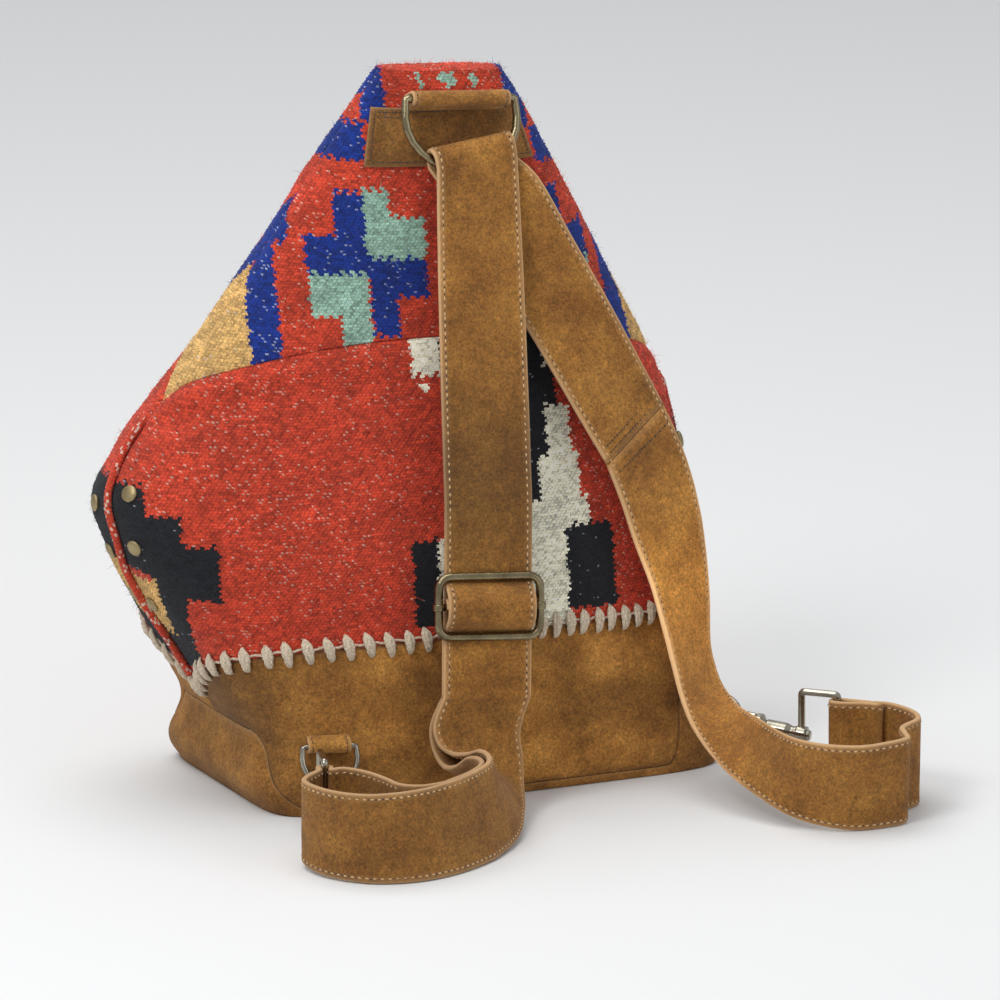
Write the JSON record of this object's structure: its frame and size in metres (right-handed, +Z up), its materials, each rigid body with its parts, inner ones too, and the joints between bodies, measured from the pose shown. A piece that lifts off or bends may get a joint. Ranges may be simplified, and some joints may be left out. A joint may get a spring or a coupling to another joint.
{
  "type": "shoulder bag",
  "caption": "Tapered wool kilim and suede shoulder bag with zipped front and one long adjustable strap clipped to its base by swivel hooks.",
  "frame": {"origin": "Middle of the flat underside of the bag's base, on the surface it stands on.", "axes": "+Z up; -Y is the strap side (back) and +Y the zipped front; +X runs to the right seen from the strap side."},
  "size_m": [0.3924, 0.3012, 0.3816],
  "materials": {
    "wool": "hand-woven wool kilim, fuzzy, with coloured geometric pattern",
    "suede": "tan suede, matt, with a short nap",
    "strap_suede": "tan suede strap with two stitched rows",
    "jute": "hand-laid jute cord stitches",
    "antique_brass": "antique brass, satin, slightly worn",
    "nickel": "nickel-plated wire and casting, glossy",
    "zip_tape": "dark woven zip tape with moulded teeth"
  },
  "bodies": {
    "bag": {"bottom_panel": "suede", "jute_stitching": "jute", "kilim_lower_back": "wool", "kilim_lower_front": "wool", "kilim_upper_back": "wool", "kilim_upper_front": "wool", "left_base_tab": "suede", "left_side_welt": "wool", "right_base_tab": "suede", "right_side_welt": "wool", "rivet_left_back_1": "antique_brass", "rivet_left_back_2": "antique_brass", "rivet_left_back_3": "antique_brass", "rivet_left_front_1": "antique_brass", "rivet_left_front_2": "antique_brass", "rivet_left_front_3": "antique_brass", "rivet_right_back_1": "antique_brass", "rivet_right_back_2": "antique_brass", "rivet_right_back_3": "antique_brass", "rivet_right_front_1": "antique_brass", "rivet_right_front_2": "antique_brass", "rivet_right_front_3": "antique_brass", "strap_long": "strap_suede", "strap_short": "strap_suede", "suede_base_back": "suede", "suede_base_front": "suede", "top_patch": "suede", "top_tab": "suede", "zip_chain": "zip_tape"},
    "top_ring": {"top_ring": "antique_brass"},
    "slider": {"slider_frame": "antique_brass"},
    "slider_bar": {"slider_bar": "antique_brass"},
    "left_ring": {"left_base_ring": "nickel"},
    "left_hook": {"left_hook": "nickel"},
    "left_eye": {"left_eye": "nickel"},
    "left_gate": {"left_gate": "nickel"},
    "right_ring": {"right_base_ring": "nickel"},
    "right_hook": {"right_hook": "nickel"},
    "right_eye": {"right_eye": "nickel"},
    "right_gate": {"right_gate": "nickel"},
    "zip_slider": {"zip_slider": "antique_brass"},
    "zip_pull": {"zip_pull": "antique_brass"}
  },
  "joints": [
    {"name": "top_ring_hinge", "type": "hinge", "parent": "bag", "child": "top_ring", "pos_m": [-0.004, -0.0262, 0.364], "axis": [0.996, 0, -0.0896], "range_deg": [-75, 0], "deforming": ["strap_long"]},
    {"name": "slider_travel", "type": "slide", "parent": "bag", "child": "slider", "axis": [-0.0702, -0.1404, -0.9876], "range_m": [-0.06, 0.01], "deforming": ["strap_long"]},
    {"name": "slider_bar_slide", "type": "slide", "parent": "slider", "child": "slider_bar", "axis": [-0.0702, -0.1404, -0.9876], "range_m": [-0.003, 0.003], "deforming": ["strap_long"]},
    {"name": "left_ring_hinge", "type": "hinge", "parent": "bag", "child": "left_ring", "pos_m": [-0.10245, -0.07878, 0.03809], "axis": [0.9629, -0.2699, 0], "range_deg": [-30, 0], "deforming": ["strap_long"]},
    {"name": "left_hook_swing", "type": "hinge", "parent": "left_ring", "child": "left_hook", "pos_m": [-0.11449, -0.08095, 0.02325], "axis": [0.5442, -0.4234, -0.7243], "range_deg": [-15, 0], "deforming": ["strap_long"]},
    {"name": "left_eye_swivel", "type": "hinge", "parent": "left_hook", "child": "left_eye", "pos_m": [-0.12663, -0.12108, 0.02572], "axis": [-0.2892, -0.9555, 0.0588], "range_deg": [-25, 25], "deforming": ["strap_long"]},
    {"name": "left_gate_hinge", "type": "hinge", "parent": "left_hook", "child": "left_gate", "pos_m": [-0.11535, -0.09656, 0.02737], "axis": [-0.6164, 0.2328, 0.7522], "range_deg": [0, 25], "stiffness_Nm_per_rad": 0.002, "springref_deg": -11.46},
    {"name": "right_ring_hinge", "type": "hinge", "parent": "bag", "child": "right_ring", "pos_m": [0.11524, -0.07306, 0.0379], "axis": [0.8669, 0.4985, 0], "range_deg": [-30, 0], "deforming": ["strap_short"]},
    {"name": "right_hook_swing", "type": "hinge", "parent": "right_ring", "child": "right_hook", "pos_m": [0.11962, -0.09171, 0.03025], "axis": [0.9778, 0.1464, -0.1502], "range_deg": [-15, 0], "deforming": ["strap_short"]},
    {"name": "right_eye_swivel", "type": "hinge", "parent": "right_hook", "child": "right_eye", "pos_m": [0.14946, -0.12097, 0.02608], "axis": [0.7105, -0.6966, -0.0994], "range_deg": [-25, 25], "deforming": ["strap_short"]},
    {"name": "right_gate_hinge", "type": "hinge", "parent": "right_hook", "child": "right_gate", "pos_m": [0.1313, -0.10238, 0.03356], "axis": [-0.6875, -0.7173, 0.1131], "range_deg": [0, 25], "stiffness_Nm_per_rad": 0.002, "springref_deg": -11.46},
    {"name": "zip_travel", "type": "hinge", "parent": "bag", "child": "zip_slider", "pos_m": [-0.014, -0.51826, 0.24855], "axis": [0.0395, 0, 0.9992], "range_deg": [-8.37, 0]},
    {"name": "zip_pull_swing", "type": "hinge", "parent": "zip_slider", "child": "zip_pull", "pos_m": [-0.05135, 0.04463, 0.25063], "axis": [-0.0553, 0.9706, 0.2341], "range_deg": [-35, 35]}
  ]
}
